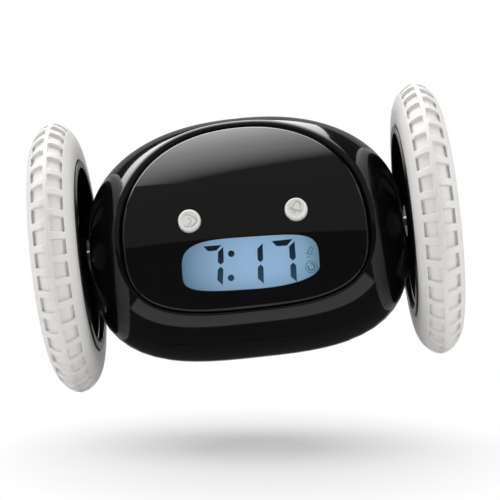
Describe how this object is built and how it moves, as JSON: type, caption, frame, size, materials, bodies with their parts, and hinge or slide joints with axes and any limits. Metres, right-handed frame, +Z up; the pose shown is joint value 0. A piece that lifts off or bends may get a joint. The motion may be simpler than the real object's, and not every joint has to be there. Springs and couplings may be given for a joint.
{
  "type": "runaway alarm clock",
  "caption": "Barrel-shaped digital alarm clock carried between two large motor-driven tyred wheels, with domed face, two eye buttons and a snooze bar.",
  "frame": {"origin": "on the floor, under the middle of the wheel axles, at the bottom centre of the bounding box", "axes": "+X along the axles to the viewer's right, -Y towards the display face, +Z up"},
  "size_m": [0.1326, 0.089, 0.089],
  "materials": {
    "body_gloss": "high-gloss black ABS moulding",
    "base_gloss": "gloss black ABS, a touch greyer",
    "face_gloss": "polished black panel",
    "lens": "clear domed window with a blue tint",
    "lcd_glass": "display cell with dark digits",
    "light_guide": "white diffusing light guide",
    "inner_black": "fine-textured black plastic",
    "zebra": "striped conductive rubber",
    "board_green": "green solder mask",
    "component_black": "epoxy and plastic component bodies",
    "button_white": "off-white satin plastic",
    "plunger": "tan plastic plunger",
    "speaker_metal": "pressed steel basket",
    "speaker_paper": "black paper cone",
    "cell_wrap": "plain blue wrapped cells",
    "nickel": "nickel-plated spring steel",
    "steel": "bright steel",
    "brass": "brass pinion on a steel shaft",
    "gear_white": "natural acetal",
    "hub_black": "satin black plastic",
    "tyre_white": "warm white moulded rubber"
  },
  "bodies": {
    "housing": {"front_shell": "body_gloss", "rear_shell": "body_gloss", "bottom_tray": "base_gloss", "battery_door": "base_gloss", "face_panel": "face_gloss", "display_lens": "lens", "display_glass": "lcd_glass", "display_backlight": "light_guide", "display_frame": "inner_black", "battery_compartment": "inner_black", "eye_switches": "inner_black", "rear_switches": "inner_black", "run_switch": "inner_black", "zebra_strip": "zebra", "main_board": "board_green", "rear_board": "board_green", "snooze_board": "board_green", "board_parts": "component_black", "speaker": "speaker_metal", "speaker_cone": "speaker_paper", "battery_cells": "cell_wrap", "battery_contacts": "nickel", "battery_springs": "nickel", "housing_screws": "steel", "door_screw": "steel", "gearbox_screws": "steel", "motor_left": "steel", "motor_right": "steel", "gearbox_frame_left": "gear_white", "gearbox_frame_right": "gear_white", "gearbox_cover_left": "gear_white", "gearbox_cover_right": "gear_white", "axle_bushes": "gear_white"},
    "left_wheel": {"axle_left": "steel", "drive_gear_left": "gear_white", "wheel_hub_left": "hub_black", "tyre_left": "tyre_white", "hub_cap_left": "hub_black"},
    "left_second_gear": {"second_gear_left": "gear_white"},
    "left_first_gear": {"first_gear_left": "gear_white"},
    "left_pinion": {"motor_pinion_left": "brass"},
    "right_wheel": {"axle_right": "steel", "drive_gear_right": "gear_white", "wheel_hub_right": "hub_black", "tyre_right": "tyre_white", "hub_cap_right": "hub_black"},
    "right_second_gear": {"second_gear_right": "gear_white"},
    "right_first_gear": {"first_gear_right": "gear_white"},
    "right_pinion": {"motor_pinion_right": "brass"},
    "time_button": {"time_button": "button_white", "time_plunger": "plunger"},
    "alarm_button": {"alarm_button": "button_white", "alarm_plunger": "plunger"},
    "hour_button": {"hour_button": "button_white", "hour_plunger": "plunger"},
    "minute_button": {"minute_button": "button_white", "minute_plunger": "plunger"},
    "snooze_button": {"snooze_button": "button_white", "snooze_plunger": "plunger"},
    "run_knob": {"run_knob": "button_white"}
  },
  "joints": [
    {"name": "left_wheel_spin", "type": "hinge", "parent": "housing", "child": "left_wheel", "pos_m": [0, 0, 0.0445], "axis": [1, 0, 0], "continuous": true},
    {"name": "left_second_gear_spin", "type": "hinge", "parent": "housing", "child": "left_second_gear", "pos_m": [0, 0.00625, 0.05532], "axis": [1, 0, 0], "continuous": true},
    {"name": "left_first_gear_spin", "type": "hinge", "parent": "housing", "child": "left_first_gear", "pos_m": [0, 0.01569, 0.04791], "axis": [1, 0, 0], "continuous": true},
    {"name": "left_pinion_spin", "type": "hinge", "parent": "housing", "child": "left_pinion", "pos_m": [0, 0.012, 0.0365], "axis": [1, 0, 0], "continuous": true},
    {"name": "right_wheel_spin", "type": "hinge", "parent": "housing", "child": "right_wheel", "pos_m": [0, 0, 0.0445], "axis": [1, 0, 0], "continuous": true},
    {"name": "right_second_gear_spin", "type": "hinge", "parent": "housing", "child": "right_second_gear", "pos_m": [0, 0.00625, 0.05532], "axis": [1, 0, 0], "continuous": true},
    {"name": "right_first_gear_spin", "type": "hinge", "parent": "housing", "child": "right_first_gear", "pos_m": [0, 0.01569, 0.04791], "axis": [1, 0, 0], "continuous": true},
    {"name": "right_pinion_spin", "type": "hinge", "parent": "housing", "child": "right_pinion", "pos_m": [0, 0.012, 0.0365], "axis": [1, 0, 0], "continuous": true},
    {"name": "time_button_press", "type": "slide", "parent": "housing", "child": "time_button", "axis": [0, 0.9703, -0.2419], "range_m": [0, 0.0005], "stiffness_N_per_m": 600, "springref_m": -0.0003},
    {"name": "alarm_button_press", "type": "slide", "parent": "housing", "child": "alarm_button", "axis": [0, 0.9703, -0.2419], "range_m": [0, 0.0005], "stiffness_N_per_m": 600, "springref_m": -0.0003},
    {"name": "hour_button_press", "type": "slide", "parent": "housing", "child": "hour_button", "axis": [0, -0.9659, -0.2588], "range_m": [0, 0.0005], "stiffness_N_per_m": 600, "springref_m": -0.0003},
    {"name": "minute_button_press", "type": "slide", "parent": "housing", "child": "minute_button", "axis": [0, -0.9659, -0.2588], "range_m": [0, 0.0005], "stiffness_N_per_m": 600, "springref_m": -0.0003},
    {"name": "snooze_button_press", "type": "slide", "parent": "housing", "child": "snooze_button", "axis": [0, -0.6157, -0.788], "range_m": [0, 0.0006], "stiffness_N_per_m": 600, "springref_m": -0.0003},
    {"name": "run_knob_slide", "type": "slide", "parent": "housing", "child": "run_knob", "axis": [1, 0, 0], "range_m": [-0.002, 0.002]}
  ],
  "couplings": [
    {"joint": "left_second_gear_spin", "follows": "left_wheel_spin", "ratio": -2.5714},
    {"joint": "left_first_gear_spin", "follows": "left_wheel_spin", "ratio": 7.7143},
    {"joint": "left_pinion_spin", "follows": "left_wheel_spin", "ratio": -23.143},
    {"joint": "right_second_gear_spin", "follows": "right_wheel_spin", "ratio": -2.5714},
    {"joint": "right_first_gear_spin", "follows": "right_wheel_spin", "ratio": 7.7143},
    {"joint": "right_pinion_spin", "follows": "right_wheel_spin", "ratio": -23.143}
  ]
}
